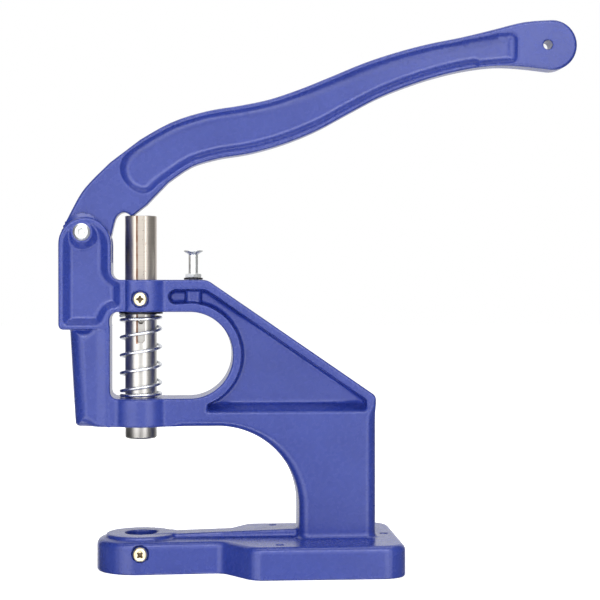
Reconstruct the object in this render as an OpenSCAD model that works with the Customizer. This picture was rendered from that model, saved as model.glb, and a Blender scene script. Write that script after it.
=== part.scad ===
// Hand lever press for setting eyelets and rivets.
// The origin is on the axis of the ram and the die, in the plane that the base stands on.
// +Z runs up along the ram and +X from the ram to the column. Lengths are millimetres.

/* [Base] */
// Thickness of the base plate
base_h = 20; // [14:1:30]
// Width of the wide part of the base
base_w = 102; // [90:1:140]
// From the ram axis to the rear end of the base
base_end = 163; // [158:1:200]
// Corner radius of the wide part
base_corner_r = 15; // [6:1:20]
// Width of the tongue that carries the die
tongue_w = 50; // [48:1:70]
// From the ram axis to the tip of the tongue
tongue_tip = 27.5; // [25:0.5:40]
// Corner radius of the tongue
tongue_corner_r = 20; // [6:1:22]
// From the ram axis to the middle of the shoulder between tongue and wide part
shoulder_x = 58; // [50:1:64]
// Radius of the inner curve of that shoulder
shoulder_r = 10; // [8:0.5:13]
// Diameter of the raised ring round the die bore
die_ring_d = 44; // [34:1:46]
// Height of the ring above the base plate
die_ring_h = 2.5; // [1:0.5:6]
// Width of the rib from the ring to the column
rib_w = 16; // [8:1:24]
// Height of the rib above the base plate where it meets the column
rib_end_h = 4.7; // [3:0.1:10]
// Diameter of the circle that the bench screw holes stand on
bench_pcd = 92; // [88:1:94]
// From the ram axis to the centre of that circle
bench_x = 108.5; // [106:0.5:109]
// Diameter of a bench screw hole
bench_hole_d = 5; // [3:0.5:6]

/* [Column and arms] */
// Thickness of the casting across the press
frame_t = 36; // [32:1:44]
// From the ram axis to the front face of the column
column_x = 99; // [92:0.5:104]
// Depth of the column, front to rear
column_w = 48.5; // [40:0.5:50]
// Height of the throat under the lower arm, above the bench
throat_h = 90.5; // [80:0.5:120]
// Radius of the throat where the lower arm runs into the column
throat_r = 51; // [30:1:55]
// Depth of the lower arm
lower_arm_h = 17.5; // [12:0.5:24]
// Height of the window that the spring stands in
window_h = 54; // [50:1:60]
// From the ram axis to the left side of the window
window_left = 19; // [17:0.5:21]
// Length of the window
window_l = 76.5; // [70:0.5:80]
// Radius of the window's left corners
window_corner_r = 5; // [2:0.5:8]
// Depth of the upper arm
upper_arm_h = 20; // [18:0.5:26]
// From the ram axis to the start of the slope on the upper arm
slope_x = 41.5; // [41:0.5:48]
// From the bench to the rear end of the slope
slope_end_z = 109; // [108:0.5:125]
// Thickness of the web between the side pockets
web_t = 12; // [8:0.5:20]
// Width of the flange along the slope
slope_rim = 5; // [3:0.5:7]
// Width of the rim between the window and the web pocket
window_rim = 5.5; // [4:0.5:8]
// Width of the rim under the web pocket
lower_rim = 9; // [6:0.5:14]
// Width of the rim behind the web pocket
rear_rim = 6; // [3:0.5:8]
// Height of the slot that the stop screw's boss stands in
slot_h = 8.5; // [5:0.5:9]
// From the ram axis to the left end of that slot
slot_left = 17.5; // [17:0.5:20]
// Diameter of the stop screw's boss
stop_boss_d = 14.6; // [13:0.1:18]
// Diameter of the bosses that guide the ram
guide_boss_d = 46; // [44:0.5:50]
// From the ram axis to the flat side that faces the pivot on the upper boss
boss_flat_x = 8.5; // [7:0.5:12]

/* [Pivot lugs and strut] */
// From the ram axis to the pivot, sideways
pivot_x = 36; // [35:0.5:37]
// Height of the pivot above the bench
pivot_z = 211.5; // [205:0.5:216]
// From the ram axis to the left side of the lugs
lug_left = 50.5; // [49:0.5:56]
// From the ram axis to the right side of the lugs
lug_right = 18; // [16:0.5:20]
// From the pivot to the top of the lugs
lug_above = 9; // [8.5:0.5:12]
// Height of the block below the window's top that the lugs stand on
lug_below = 11; // [6:0.5:20]
// Radius of the fillet between the lugs and the upper arm
lug_fillet = 5; // [2:0.5:7]
// From the pivot to the bottom of the fork
fork_below = 18.5; // [17.5:0.5:22]
// Width of the rim round the side pocket
lug_rim = 4; // [3:0.5:6]
// Depth of the side pocket
lug_pocket_depth = 4.5; // [2:0.5:5]
// Diameter of the seat round the pivot bolt
pivot_seat_d = 12.5; // [12:0.5:15]
// Diameter of that seat's cone on the floor of the side pocket
pivot_cone_d = 21; // [16:0.5:24]
// Thickness of the strut below the lugs
strut_t = 34; // [28:1:34]
// From the ram axis to the strut's left side at its top
strut_left_top = 44; // [40:0.5:48]
// From the ram axis to the strut's left side at its bottom
strut_left_bottom = 40.5; // [36:0.5:46]

/* [Lever] */
// Thickness of the lever
lever_t = 16; // [12:0.5:18]
// Gap on each side of the lever in its fork
lever_side_gap = 0.3; // [0.2:0.05:0.5]
// From the pivot to the middle of the lever's paddle, sideways
lever_reach = 298; // [260:1:330]
// Radius of the lever's head round the pivot
lever_head_r = 12.5; // [10:0.5:13]
// From the pivot to the lever's nose, sideways
nose_x = 30.5; // [29.5:0.5:31.5]
// Radius of the nose
nose_r = 2; // [1.5:0.5:2.5]
// Depth of the long pocket in each side of the lever
lever_pocket_depth = 4; // [2:0.5:5]
// Width of the rim above the lever's pocket
lever_rim_top = 4; // [3:0.5:6]
// Width of the rim below the lever's pocket
lever_rim_low = 5; // [3:0.5:6]
// Diameter of the hole to hang the lever by
hang_hole_d = 6; // [4:0.5:10]
// From the middle of the paddle back to that hole
hang_hole_back = 3; // [0:0.5:5]

/* [Ram and spring] */
// Diameter of the ram
ram_d = 20; // [18:0.5:21]
// Length of the ram
ram_l = 140; // [134:1:146]
// How far the ram stands out under the lower arm
ram_below = 8.3; // [5:0.1:14]
// Chamfer on the ram's ends
ram_chamfer = 1; // [0.5:0.1:2]
// Width of the keyway in the ram
key_w = 5; // [4:0.5:6]
// Depth of the keyway
key_depth = 2.5; // [2:0.1:3]
// Length of the keyway from the ram's top
key_l = 79.7; // [78:0.1:90]
// Diameter of the cross hole in the keyway
cross_hole_d = 3.4; // [2:0.1:4]
// From the ram's top to the cross hole
cross_hole_l = 66; // [64:0.5:72]
// Diameter of the threaded socket for the upper die
punch_d = 8.5; // [6:0.5:12]
// Depth of that socket
punch_l = 18; // [10:1:30]
// Diameter of the die bore in the base
die_bore_d = 20.2; // [16:0.1:26]
// Outer diameter of the snap ring
snap_d = 27.6; // [27:0.1:30]
// Thickness of the snap ring
snap_t = 1.2; // [0.8:0.1:2]
// Depth of the snap ring's groove
snap_groove = 0.5; // [0.4:0.05:0.8]
// Opening of the snap ring
snap_gap = 6; // [3:0.5:10]
// Diameter of the spring wire
wire_d = 2; // [1.6:0.1:2.2]
// Mean diameter of the spring
coil_d = 25; // [24:0.5:26]
// Open turns of the spring
open_turns = 4; // [3:1:5]
// Pitch of the closed turn at each end of the spring
closed_pitch = 2.6; // [2.5:0.1:3]

/* [Screws] */
// Diameter of the pivot bolt
pivot_d = 8; // [6:0.5:9]
// Diameter of the pivot bolt's head
pivot_head_d = 10.6; // [10:0.1:12]
// Height of the pivot bolt's head
pivot_head_h = 3; // [2:0.1:4]
// Width across flats of the pivot bolt's socket
pivot_socket = 4; // [3:0.5:5]
// Thickness of the pivot washer
pivot_washer_t = 1.6; // [1:0.1:2]
// Width across flats of the pivot nut
pivot_nut_af = 13; // [12:0.5:15]
// Height of the pivot nut
pivot_nut_h = 6.5; // [5:0.5:8]
// How far the pivot bolt stands out of its nut
pivot_end = 1; // [0.5:0.5:4]
// Thread diameter of the guide screw and the die screw
screw_d = 5; // [4:0.5:6]
// Head diameter of these screws
screw_head_d = 9; // [8:0.5:11]
// Head height of these screws
screw_head_h = 3; // [2:0.1:4]
// Depth of the spot face under the guide screw's head
spot_depth = 1; // [0.5:0.1:2]
// Height of the guide screw above the window
guide_screw_above = 8; // [6:0.5:13]
// Height of the die screw above the bench
die_screw_z = 13; // [8:0.5:14]
// How far the die screw stands backed out
die_screw_out = 2.4; // [1:0.1:4]
// Thread diameter of the stop screw
stop_d = 6; // [5:0.5:6]
// Head diameter of the stop screw
stop_head_d = 12; // [11:0.5:14]
// Height of the cone under its rim
stop_cone_h = 1.8; // [1:0.1:3.5]
// Length of the stop screw with its head
stop_l = 26; // [24:1:28]
// From the ram axis to the stop screw
stop_x = 33; // [31:0.5:35]
// How far the stop screw's head stands above the upper arm
stop_above = 18.6; // [16:0.1:19]
// How far the stop screw can be screwed in
stop_travel = 8; // [2:0.5:8]
// Outer diameter of the stop washer
stop_washer_d = 12; // [11:0.5:14]
// Thickness of the stop washer
stop_washer_t = 1.2; // [0.8:0.1:2]
// Width across flats of the stop nut
stop_nut_af = 10; // [9:0.5:11]
// Height of the stop nut
stop_nut_h = 2.4; // [2:0.1:3.2]

/* [Fits] */
// Radial clearance where a shaft runs or slides in its bore
run_fit = 0.05; // [0.02:0.01:0.1]
// Gap between faces that lie on each other
seat_gap = 0.15; // [0.1:0.05:0.3]
// Gap between the lever's nose and the top of the ram
nose_gap = 0.05; // [0.05:0.05:0.5]
// Gap between the tip of a front screw and what it points at
point_gap = 0.5; // [0.3:0.1:1]

/* [Hidden] */
$fn = 72;
eps = 0.01;
cut = 1;
arc_steps = 8;

// Heights of the arms above the bench
lower_arm_top = throat_h + lower_arm_h;
window_top = lower_arm_top + window_h;
upper_arm_top = window_top + upper_arm_h;
window_r = window_h / 2;
window_cx = window_l - window_left - window_r;
window_cz = lower_arm_top + window_r;
column_end = column_x + column_w;
slope_angle = atan2(upper_arm_top - slope_end_z, column_end - slope_x);

// Lugs and fork
lug_r = (lug_left - lug_right) / 2;
lug_cx = -(lug_left + lug_right) / 2;
lug_top = pivot_z + lug_above;
lug_bottom = window_top - lug_below;
fork_w = lever_t + 2 * lever_side_gap;

// The casting is one piece, and these planes divide it between its base, column, arms, strut and lugs.
// None of them lies in one of its own faces.
tongue_joint = shoulder_x - shoulder_r;
base_joint = base_h + rib_end_h + cut;
column_joint = window_cx;
lower_arm_joint = lower_arm_top + cut;
lug_joint = lug_bottom - cut;
upper_arm_joint = cut - lug_right;
low_end = [-2 * lug_left, -base_w, -cut];
high_end = [2 * base_end, base_w, 2 * pivot_z];

// Ram, ring and spring
ram_r = ram_d / 2;
ram_bottom = throat_h - ram_below;
ram_top = ram_bottom + ram_l;
snap_top = window_top - seat_gap;
spring_low = lower_arm_top + seat_gap + wire_d / 2;
spring_high = snap_top - snap_t - seat_gap - wire_d / 2;
open_pitch = (spring_high - spring_low - 2 * closed_pitch) / open_turns;
guide_screw_z = window_top + guide_screw_above;
boss_r = guide_boss_d / 2;

// The lever's spine from its neck to the middle of its paddle, each point with half the lever's depth there,
// measured from the pivot. The handle is a band of that depth round a smooth curve through the points,
// which are spread to the lever's reach.
spine_points = [
    [41, 42.7, 16.2], [61, 55.2, 15.3], [81, 61.7, 15.3], [101, 65.2, 15.3], [121, 70.2, 14.7],
    [141, 77.7, 14.1], [161, 87.2, 12.9], [181, 96.7, 11.9], [201, 104.2, 11.2], [221, 110.2, 10.6],
    [241, 114.7, 10.3], [261, 118.5, 11.5], [281, 120.8, 14.4], [298, 120.7, 16]];
spine_steps = 4;
bend_steps = 2;
spine_start = spine_points[0][0];
spread = (lever_reach - spine_start) / (spine_points[len(spine_points) - 1][0] - spine_start);
lever_spine = [for (q = spine_points) [spine_start + spread * (q[0] - spine_start), q[1], q[2]]];
paddle = lever_spine[len(lever_spine) - 1];
// The back of the lever's head, from the head's circle up to the spine, measured from the pivot
head_back = [[-11.6, 4.6], [-7.5, 12.8], [-1.3, 24.2], [5.5, 32.6], [17.2, 44.2]];
// The hollow between the nose and the head, measured from the pivot
head_throat = [[13, -9.5], [17, -4], [18.6, 2], [20.3, 8.5], [22, 11], [24, 12.6], [26.5, 12.9]];
nose_z = ram_top - pivot_z + nose_r + nose_gap;
// The heel between the nose and the lower edge: its centre from the nose's, its radius and the steps of its arc
heel_right = 7;
heel_above = 8;
heel_r = 4;
heel_steps = 3;
heel = [nose_x + heel_right, nose_z + heel_above];
// Directions in which the outline meets the nose, leaves it for the heel and leaves the heel
nose_start = -150;
nose_end = -56;
heel_end = -32;
// The round start of the lever's pocket at the neck, measured from the pivot
pocket_start = [[33.5, 51.6], [28.3, 47], [25.7, 41.5], [26.8, 35.6], [30.5, 30.7], [35.5, 27.5],
                [40, 27.8], [45, 31.3]];
// Steps of the spine's curve that stay between the pocket's end and the middle of the paddle
pocket_end_steps = 6;
// Directions in which the outline meets the head's circle and leaves it
head_start = 158;
head_end = 320;

// Point at angle a on a circle
function on_circle(cx, cy, r, a) = [cx + r * cos(a), cy + r * sin(a)];
// Arc from angle a to angle b
function arc(cx, cy, r, a, b, n = arc_steps) =
    [for (i = [0:n]) on_circle(cx, cy, r, a + (b - a) * i / n)];
// Smooth curve through points, with n steps from each point to the next
function smooth_at(p, i, t) =
    let (last = len(p) - 1,
         a = p[max(i - 1, 0)], b = p[i], c = p[min(i + 1, last)], d = p[min(i + 2, last)])
    0.5 * (2 * b + t * (c - a) + t * t * (2 * a - 5 * b + 4 * c - d) + t * t * t * (3 * b - a - 3 * c + d));
function smooth(p, n) = concat(
    [for (i = [0:len(p) - 2]) for (k = [0:n - 1]) smooth_at(p, i, k / n)],
    [p[len(p) - 1]]);
function unit(v) = v / norm(v);
// One edge of a band round a curve of [x, z, half depth]: side is 1 for the upper edge and -1 for the lower one
function edge(c, side, rim = 0) =
    [for (i = [0:len(c) - 1])
        let (a = c[max(i - 1, 0)], b = c[min(i + 1, len(c) - 1)],
             t = unit([b[0] - a[0], b[1] - a[1]]))
        [c[i][0] - side * t[1] * (c[i][2] - rim), c[i][1] + side * t[0] * (c[i][2] - rim)]];
function reversed(p) = [for (i = [len(p) - 1:-1:0]) p[i]];
function mirrored(p) = [for (q = reversed(p)) [q[0], -q[1]]];

spine_curve = smooth(lever_spine, spine_steps);

// A side profile, drawn in X and Z, given the thickness t across the press
module side(t) {
    rotate([90, 0, 0])
        linear_extrude(height = t, center = true)
            children();
}

// The same profile on both sides of the press, from the face inward by the given depth
module both_faces(face, depth) {
    for (s = [-1, 1])
        translate([0, s * (face + cut / 2 - depth / 2), 0])
            side(depth + cut) children();
}

// Outline of the base, seen from above
module base_outline() {
    y = -tongue_w / 2;
    outer_r = (base_w - tongue_w) / 2 - shoulder_r;
    half = concat(
        arc(-tongue_tip + tongue_corner_r, y + tongue_corner_r, tongue_corner_r, 180, 270),
        arc(shoulder_x - shoulder_r, y - shoulder_r, shoulder_r, 90, 0),
        arc(shoulder_x + outer_r, y - shoulder_r, outer_r, 180, 270),
        arc(base_end - base_corner_r, -base_w / 2 + base_corner_r, base_corner_r, 270, 360));
    polygon(concat(half, mirrored(half)));
}

// Column, arms and slope as one side profile
module body_profile() {
    polygon(concat(
        [[column_x, base_h / 2], [column_end, base_h / 2], [column_end, slope_end_z],
         [slope_x, upper_arm_top], [-window_left - cut, upper_arm_top], [-window_left - cut, throat_h]],
        arc(column_x - throat_r, throat_h - throat_r, throat_r, 90, 0, 2 * arc_steps)));
}

// Window with a round right end
module window_profile() {
    x = -window_left + window_corner_r;
    polygon(concat(
        arc(x, lower_arm_top + window_corner_r, window_corner_r, 180, 270),
        arc(window_cx, window_cz, window_r, -90, 90, 3 * arc_steps),
        arc(x, window_top - window_corner_r, window_corner_r, 90, 180)));
}

// Pocket in the web: a slot that opens into a triangle
module web_pocket_profile() {
    slot_low = window_top + window_rim;
    slot_top = slot_low + slot_h;
    drop = slope_rim / cos(slope_angle);
    low = throat_h + lower_rim;
    right = column_end - rear_rim;
    k = tan(slope_angle);
    inner_x = slope_x + (upper_arm_top - drop - slot_top) / k;
    ring = window_r + window_rim;
    // Angle past the window's lowest point, where the lower rim takes over from the window's rim
    reach = 20;
    polygon(concat(
        [[right, low], [right, upper_arm_top - drop - k * (right - slope_x)], [inner_x, slot_top]],
        arc(slot_left + slot_h / 2, slot_low + slot_h / 2, slot_h / 2, 90, 270),
        arc(window_cx, window_cz, ring, 90, -90 + reach, 3 * arc_steps),
        [[window_cx + ring * sin(reach), low]]));
}

// Lugs as one plate with a round top and a fillet on the upper arm
module lug_profile() {
    polygon(concat(
        [[-lug_left, lug_bottom], [-lug_right, lug_bottom], [-lug_right, upper_arm_top],
         [lug_fillet - lug_right, upper_arm_top]],
        arc(lug_fillet - lug_right, upper_arm_top + lug_fillet, lug_fillet, 270, 180),
        arc(lug_cx, lug_top - lug_r, lug_r, 0, 180, 2 * arc_steps)));
}

// Pocket in the side of the lugs, with its bay toward the ram
module lug_pocket_profile() {
    r = lug_r - lug_rim;
    bay_z = (window_top + upper_arm_top) / 2;
    bay = 0.3 * upper_arm_h;
    union() {
        polygon(concat(
            [[lug_cx - r, lug_bottom + lug_rim], [lug_cx + r, lug_bottom + lug_rim]],
            arc(lug_cx, lug_top - lug_r, r, 0, 180, 2 * arc_steps)));
        translate([lug_cx, bay_z - bay])
            square([r + 2 * lug_rim, 2 * bay]);
    }
}

// Cone that carries the seat of the pivot bolt, on both sides and inside the outline of the lugs
module pivot_cones() {
    foot = frame_t / 2 - lug_pocket_depth;
    intersection() {
        for (turn = [0, 180])
            translate([-pivot_x, 0, pivot_z])
                rotate([90, 0, turn])
                    translate([0, 0, foot - eps])
                        cylinder(d1 = pivot_cone_d, d2 = pivot_seat_d, h = lug_pocket_depth + eps);
        side(frame_t)
            lug_profile();
    }
}

// Rib that climbs from the ring round the die to the column
module rib() {
    side(rib_w)
        polygon([[0, base_h / 2], [column_x + cut, base_h / 2], [column_x + cut, base_h + rib_end_h],
                 [die_ring_d / 2 - cut, base_h + die_ring_h - eps], [0, base_h + die_ring_h - eps]]);
}

// A boss that guides the ram
module guide_boss(z, h) {
    translate([0, 0, z])
        cylinder(r = boss_r, h = h);
}

// The whole casting: base, column, two arms, lugs and strut
module casting() {
    difference() {
        union() {
            difference() {
                union() {
                    linear_extrude(height = base_h)
                        base_outline();
                    side(frame_t)
                        body_profile();
                    side(frame_t)
                        lug_profile();
                }
                side(frame_t + 2 * cut)
                    window_profile();
                both_faces(frame_t / 2, (frame_t - web_t) / 2)
                    web_pocket_profile();
                both_faces(frame_t / 2, lug_pocket_depth)
                    lug_pocket_profile();
            }
            cylinder(d = die_ring_d, h = base_h + die_ring_h);
            rib();
            pivot_cones();
            side(strut_t)
                polygon([[-strut_left_bottom, throat_h], [-window_left, throat_h],
                         [-window_left, lug_bottom + cut], [-strut_left_top, lug_bottom + cut]]);
            guide_boss(throat_h, lower_arm_h);
            intersection() {
                guide_boss(window_top, upper_arm_h);
                translate([-boss_flat_x, -boss_r - cut, window_top - cut])
                    cube([2 * boss_r, 2 * boss_r + 2 * cut, upper_arm_h + 2 * cut]);
            }
            translate([stop_x, 0, window_top + window_rim - cut])
                cylinder(d = stop_boss_d, h = slot_h + 2 * cut);
        }
        // Fork for the lever
        translate([-lug_left - cut, -fork_w / 2, pivot_z - fork_below])
            cube([lug_left - lug_right + 2 * cut, fork_w, fork_below + lug_above + cut]);
        // Bores for the ram and the die
        translate([0, 0, throat_h - cut])
            cylinder(r = ram_r + run_fit, h = upper_arm_top - throat_h + 2 * cut);
        translate([0, 0, -cut])
            cylinder(d = die_bore_d, h = base_h + die_ring_h + 2 * cut);
        // Pivot bore through both lugs
        translate([-pivot_x, 0, pivot_z])
            rotate([90, 0, 0])
                cylinder(r = pivot_d / 2 + run_fit, h = frame_t + 2 * cut, center = true);
        // Guide screw and its spot face
        translate([0, -boss_r - cut, guide_screw_z])
            rotate([-90, 0, 0])
                cylinder(r = screw_d / 2 + run_fit, h = boss_r - ram_r + 2 * cut);
        translate([0, -boss_r - cut, guide_screw_z])
            rotate([-90, 0, 0])
                cylinder(d = screw_head_d + 1, h = spot_depth + cut);
        // Die screw
        translate([0, -tongue_w / 2 - cut, die_screw_z])
            rotate([-90, 0, 0])
                cylinder(r = screw_d / 2 + run_fit, h = tongue_w / 2 - die_bore_d / 2 + 2 * cut);
        // Stop screw
        translate([stop_x, 0, window_top + window_rim / 2])
            cylinder(r = stop_d / 2 + run_fit, h = upper_arm_h);
        // Bench screw holes
        for (a = [0, 120, 240])
            translate([bench_x + bench_pcd / 2 * cos(a), bench_pcd / 2 * sin(a), -cut])
                cylinder(d = bench_hole_d, h = base_h + 2 * cut);
    }
}

// What lies of the casting between two corners
module casting_part(low, high) {
    color([0.28, 0.33, 0.66])
    intersection() {
        casting();
        translate(low)
            cube(high - low);
    }
}

// Tongue of the base with the die ring and the start of the rib
module tongue() {
    casting_part(low_end, [tongue_joint, high_end[1], base_joint]);
}

// Base plate with the rest of the rib and the foot of the column
module base() {
    casting_part([tongue_joint, low_end[1], low_end[2]], [high_end[0], high_end[1], base_joint]);
}

// Column with the slope above it and the round ends of the throat and the window
module column() {
    casting_part([column_joint, low_end[1], base_joint], high_end);
}

// Lower arm with its boss round the ram and the foot of the strut
module lower_arm() {
    casting_part([low_end[0], low_end[1], base_joint], [column_joint, high_end[1], lower_arm_joint]);
}

// Strut between the lower arm and the lugs
module strut() {
    casting_part([low_end[0], low_end[1], lower_arm_joint], [column_joint, high_end[1], lug_joint]);
}

// Upper arm with its boss round the ram
module upper_arm() {
    casting_part([upper_arm_joint, low_end[1], lug_joint], [column_joint, high_end[1], high_end[2]]);
}

// Lugs on both sides of the lever, with the pivot bore
module pivot_lugs() {
    casting_part([low_end[0], low_end[1], lug_joint], [upper_arm_joint, high_end[1], high_end[2]]);
}

// The lever's outline: head circle, neck, nose, heel, lower edge, paddle, upper edge and back
module lever_profile() {
    up = edge(spine_curve, 1);
    low = edge(spine_curve, -1);
    polygon(concat(
        arc(0, 0, lever_head_r, head_start, head_end, 2 * arc_steps),
        smooth(head_throat, bend_steps),
        arc(nose_x, nose_z, nose_r, nose_start, nose_end),
        arc(heel[0], heel[1], heel_r, nose_end, heel_end, heel_steps),
        [for (i = [1:len(low) - 2]) low[i]],
        arc(paddle[0], paddle[1], paddle[2], -90, 90, 2 * arc_steps),
        [for (i = [len(up) - 2:-1:1]) up[i]],
        reversed(smooth(head_back, spine_steps))));
}

// The long pocket in the lever's side
module lever_pocket_profile() {
    c = [for (i = [1:len(spine_curve) - 1 - pocket_end_steps]) spine_curve[i]];
    low = edge(c, -1, lever_rim_low);
    up = reversed(edge(c, 1, lever_rim_top));
    polygon(concat(low, up, smooth(pocket_start, bend_steps)));
}

// The cast lever, in the place where the spring holds it
module lever() {
    color([0.28, 0.33, 0.66])
    translate([-pivot_x, 0, pivot_z])
    difference() {
        side(lever_t)
            lever_profile();
        both_faces(lever_t / 2, lever_pocket_depth)
            lever_pocket_profile();
        rotate([90, 0, 0])
            cylinder(r = pivot_d / 2 + run_fit, h = lever_t + 2 * cut, center = true);
        translate([paddle[0] - hang_hole_back, 0, paddle[1]])
            rotate([90, 0, 0])
                cylinder(d = hang_hole_d, h = lever_t + 2 * cut, center = true);
    }
}

// A hexagon of a given width across its flats
module hexagon(af) {
    circle(d = af / cos(30), $fn = 6);
}

// Places a piece on the pivot's axis, with its own +Z running from the front of the press to the back
module on_pivot(y) {
    translate([-pivot_x, y, pivot_z])
        rotate([-90, 0, 0])
            children();
}

// Button-head bolt that the lever turns on
module pivot_bolt() {
    r = pivot_head_d / 2;
    edge_r = 1.4;
    socket_depth = 2;
    l = frame_t + 3 * seat_gap + pivot_washer_t + pivot_nut_h + pivot_end;
    color([0.8, 0.8, 0.78])
    on_pivot(-frame_t / 2 - seat_gap)
    difference() {
        union() {
            translate([0, 0, -pivot_head_h])
                rotate_extrude()
                    polygon(concat([[0, 0]], arc(r - edge_r, edge_r, edge_r, -90, 0, 6),
                        [[r, pivot_head_h], [0, pivot_head_h]]));
            cylinder(d = pivot_d, h = l);
        }
        translate([0, 0, -pivot_head_h - cut])
            linear_extrude(height = socket_depth + cut)
                hexagon(pivot_socket);
    }
}

// Washer under the pivot nut
module pivot_washer() {
    color([0.7, 0.7, 0.7])
    on_pivot(frame_t / 2 + seat_gap)
    difference() {
        cylinder(d = 2 * pivot_d - 1, h = pivot_washer_t);
        translate([0, 0, -cut])
            cylinder(r = pivot_d / 2 + run_fit, h = pivot_washer_t + 2 * cut);
    }
}

// Nut on the rear end of the pivot bolt
module pivot_nut() {
    color([0.75, 0.75, 0.72])
    on_pivot(frame_t / 2 + 2 * seat_gap + pivot_washer_t)
    difference() {
        linear_extrude(height = pivot_nut_h)
            hexagon(pivot_nut_af);
        translate([0, 0, -cut])
            cylinder(r = pivot_d / 2 + run_fit, h = pivot_nut_h + 2 * cut);
    }
}

// Ground steel ram with its keyway, cross hole, ring groove and die socket
module ram() {
    color([0.62, 0.6, 0.57])
    difference() {
        translate([0, 0, ram_bottom])
            rotate_extrude()
                polygon([[0, 0], [ram_r - ram_chamfer, 0], [ram_r, ram_chamfer],
                         [ram_r, ram_l - ram_chamfer / 2], [ram_r - ram_chamfer / 2, ram_l], [0, ram_l]]);
        translate([-key_w / 2, -ram_r - cut, ram_top - key_l + key_w / 2])
            cube([key_w, key_depth + cut, key_l]);
        translate([0, -ram_r - cut, ram_top - key_l + key_w / 2])
            rotate([-90, 0, 0])
                cylinder(d = key_w, h = key_depth + cut);
        translate([0, -ram_r - cut, ram_top - cross_hole_l])
            rotate([-90, 0, 0])
                cylinder(d = cross_hole_d, h = ram_r + cut);
        translate([0, 0, snap_top - snap_t - run_fit])
            difference() {
                cylinder(r = ram_r + cut, h = snap_t + 2 * run_fit);
                translate([0, 0, -cut])
                    cylinder(r = ram_r - snap_groove, h = snap_t + 2 * cut);
            }
        translate([0, 0, ram_bottom - cut])
            cylinder(d = punch_d, h = punch_l + cut);
    }
}

// Open ring in the ram's groove that the spring pushes on
module snap_ring() {
    color([0.2, 0.2, 0.22])
    translate([0, 0, snap_top - snap_t])
    difference() {
        cylinder(d = snap_d, h = snap_t);
        translate([0, 0, -cut])
            cylinder(r = ram_r - snap_groove + run_fit, h = snap_t + 2 * cut);
        translate([-snap_gap / 2, 0, -cut])
            cube([snap_gap, snap_d, snap_t + 2 * cut]);
    }
}

// Return spring: a closed turn, the open turns and a closed turn, as one wire
rings_per_turn = 8;
wire_sides = 6;
spring_turns = open_turns + 2;
spring_rings = spring_turns * rings_per_turn;
// Height of the wire's middle after u turns
function wire_z(u) =
    u < 1 ? spring_low + closed_pitch * u
    : u < spring_turns - 1 ? spring_low + closed_pitch + open_pitch * (u - 1)
    : spring_high - closed_pitch * (spring_turns - u);
// The wire runs round the ram from the left, with a straight end of one wire diameter at both ends
function wire_at(u) =
    [coil_d / 2 * cos(180 + 360 * u), coil_d / 2 * sin(180 + 360 * u), wire_z(u)];
wire_path = concat(
    [wire_at(0) + [0, wire_d, 0]],
    [for (i = [0:spring_rings]) wire_at(i / rings_per_turn)],
    [wire_at(spring_turns) - [0, wire_d, 0]]);
function wire_ring(i) =
    let (last = len(wire_path) - 1,
         t = unit(wire_path[min(i + 1, last)] - wire_path[max(i - 1, 0)]),
         a = unit(cross([0, 0, 1], t)), b = cross(t, a))
    [for (k = [0:wire_sides - 1])
        wire_path[i] + wire_d / 2 * (cos(360 * k / wire_sides) * a + sin(360 * k / wire_sides) * b)];
wire_points = [for (i = [0:len(wire_path) - 1]) each wire_ring(i)];
wire_faces = concat(
    [for (i = [0:len(wire_path) - 2]) for (k = [0:wire_sides - 1]) each
        let (m = wire_sides, n = (k + 1) % m, p = i * m)
        [[p + k, p + m + n, p + n], [p + k, p + m + k, p + m + n]]],
    [for (k = [1:wire_sides - 2]) [0, k, k + 1]],
    [for (k = [1:wire_sides - 2]) let (p = (len(wire_path) - 1) * wire_sides) [p, p + k + 1, p + k]]);
// Least distance from the wire's surface to its next turn, on the path's own points
wire_gap = min([for (i = [0:len(wire_path) - 1]) for (j = [i + 5:1:len(wire_path) - 1])
    norm(wire_path[i] - wire_path[j])]) - wire_d;

module return_spring() {
    echo(spring_least_gap = wire_gap);
    color([0.78, 0.8, 0.84])
        polyhedron(points = wire_points, faces = wire_faces, convexity = 10);
}

// Cross recess in a screw head, from the top down
module cross_recess(w, depth) {
    for (a = [0, 90])
        rotate([0, 0, a])
            translate([-w / 2, -w / 8, -depth])
                cube([w, w / 4, depth + cut]);
}

// Pan-head screw with its head's seat at z = 0, its head above and its shank below
module pan_screw(shank_l, point_d, point_l) {
    r = screw_head_d / 2;
    round_r = 0.7 * screw_head_h;
    recess_w = 0.55 * screw_head_d;
    recess_depth = 0.6 * screw_head_h;
    difference() {
        union() {
            rotate_extrude()
                polygon(concat([[0, 0], [r, 0]],
                    arc(r - round_r, screw_head_h - round_r, round_r, 0, 90, 5),
                    [[0, screw_head_h]]));
            translate([0, 0, -shank_l])
                cylinder(d = screw_d, h = shank_l + eps);
            translate([0, 0, -shank_l - point_l])
                cylinder(d = point_d, h = point_l + eps);
        }
        translate([0, 0, screw_head_h])
            cross_recess(recess_w, recess_depth);
    }
}

// Guide screw, whose point runs in the ram's keyway
module guide_screw() {
    seat = boss_r - spot_depth + seat_gap;
    thread_end = ram_r + 1;
    tip = ram_r - key_depth + point_gap;
    color([0.85, 0.8, 0.62])
    translate([0, -seat, guide_screw_z])
        rotate([90, 0, 0])
            pan_screw(seat - thread_end, key_w - 4 * run_fit, thread_end - tip);
}

// Screw that clamps a die in its bore, standing backed out
module die_screw() {
    seat = tongue_w / 2 + die_screw_out;
    thread_end = die_bore_d / 2 + 2;
    tip = die_bore_d / 2 + point_gap;
    color([0.85, 0.8, 0.62])
    translate([0, -seat, die_screw_z])
        rotate([90, 0, 0])
            pan_screw(seat - thread_end, screw_d - 1, thread_end - tip);
}

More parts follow.
